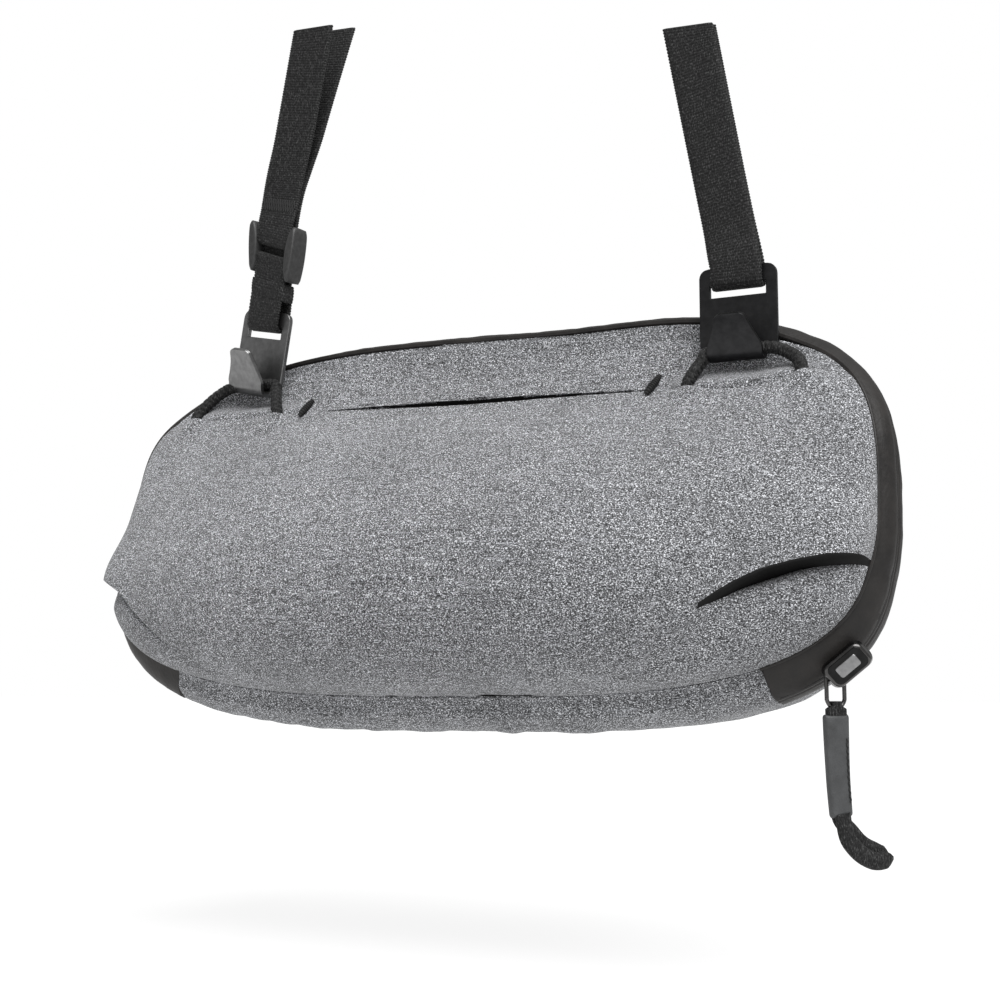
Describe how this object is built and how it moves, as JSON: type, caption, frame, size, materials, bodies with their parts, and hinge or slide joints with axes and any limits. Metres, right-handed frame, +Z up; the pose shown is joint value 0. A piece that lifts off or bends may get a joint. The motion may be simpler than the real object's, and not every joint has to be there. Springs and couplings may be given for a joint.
{
  "type": "hanging sling camera bag",
  "caption": "Small padded clamshell camera bag of grey fabric with a wrap-round zipper, a front slip pocket and cord loops that hang it from two metal hook plates on webbing straps.",
  "frame": {"origin": "between the two cut strap ends, in line with the cord loops' seats in the hooks, where the straps hold the bag up", "axes": "+X along the bag's width to its right end as seen from the front, +Y towards the back panel, +Z up"},
  "size_m": [0.3147, 0.0963, 0.3322],
  "materials": {
    "grey_fabric": "heathered woven",
    "lining": "brushed padded lining",
    "foam": "fabric-faced foam",
    "coated_tape": "coated satin",
    "zip_coil": "moulded",
    "slider_metal": "dark plated gloss",
    "thread": "twisted",
    "cord": "braided",
    "mesh_fabric": "open knit",
    "pull_leather": "matte grain",
    "webbing": "ribbed",
    "hook_metal": "dark anodised matte",
    "adjuster_plastic": "matte"
  },
  "bodies": {
    "strap": {"webbing_left": "webbing", "webbing_right": "webbing", "webbing_keeper": "webbing"},
    "adjuster": {"strap_adjuster": "adjuster_plastic"},
    "left_hook": {"hook_left": "hook_metal"},
    "right_hook": {"hook_right": "hook_metal"},
    "front_shell": {"front_panel": "grey_fabric", "upper_panel": "grey_fabric", "pocket_backing": "lining", "front_wall_pad": "foam", "zip_flap": "coated_tape", "gusset_front": "grey_fabric", "zip_coil_front": "zip_coil", "zip_stop_right": "slider_metal", "zip_stop_left": "slider_metal", "bar_tack_right": "thread", "bar_tack_left": "thread", "cord_loop_right": "cord", "cord_loop_left": "cord"},
    "rear_shell": {"zip_tape_rear": "coated_tape", "gusset_rear": "grey_fabric", "zip_coil_rear": "zip_coil", "rear_panel": "grey_fabric", "rear_foam": "foam", "rear_lining": "lining", "mesh_pocket": "mesh_fabric", "divider_left": "lining", "divider_right": "lining"},
    "slider": {"slider_body": "slider_metal", "slider_cap": "slider_metal"},
    "ring": {"pull_ring": "slider_metal"},
    "pull": {"pull_sheath": "pull_leather", "pull_loop": "webbing", "pull_bail": "webbing"}
  },
  "joints": [
    {"name": "left_hook_swing", "type": "hinge", "parent": "strap", "child": "left_hook", "pos_m": [-0.1015, 0.0032, -0.1086], "axis": [1, 0, 0], "range_deg": [-10, 10]},
    {"name": "right_hook_swing", "type": "hinge", "parent": "strap", "child": "right_hook", "pos_m": [0.1015, 0.0032, -0.1086], "axis": [1, 0, 0], "range_deg": [-10, 10]},
    {"name": "bag_swing", "type": "hinge", "parent": "left_hook", "child": "front_shell", "pos_m": [0, 0, -0.134], "axis": [1, 0, 0], "range_deg": [-30, 8]},
    {"name": "clamshell_open", "type": "hinge", "parent": "front_shell", "child": "rear_shell", "pos_m": [0, -0.02116, -0.26898], "axis": [-1, 0, 0], "range_deg": [0, 75]},
    {"name": "slider_travel", "type": "hinge", "parent": "front_shell", "child": "slider", "pos_m": [0.1039, -0.01043, -0.20467], "axis": [0, -0.9848, 0.1736], "range_deg": [-26, 46]},
    {"name": "ring_swing", "type": "hinge", "parent": "slider", "child": "ring", "pos_m": [0.13864, -0.02418, -0.25026], "axis": [-0.7071, 0.7071, 0], "range_deg": [-30, 30]},
    {"name": "pull_swing", "type": "hinge", "parent": "ring", "child": "pull", "pos_m": [0.13864, -0.02418, -0.25816], "axis": [0.7071, 0.7071, 0], "range_deg": [-50, 50]},
    {"name": "adjuster_slide", "type": "slide", "parent": "strap", "child": "adjuster", "axis": [0.2135, 0, 0.977], "range_m": [0, 0.01]}
  ],
  "couplings": [
    {"joint": "right_hook_swing", "follows": "left_hook_swing", "ratio": 1}
  ]
}
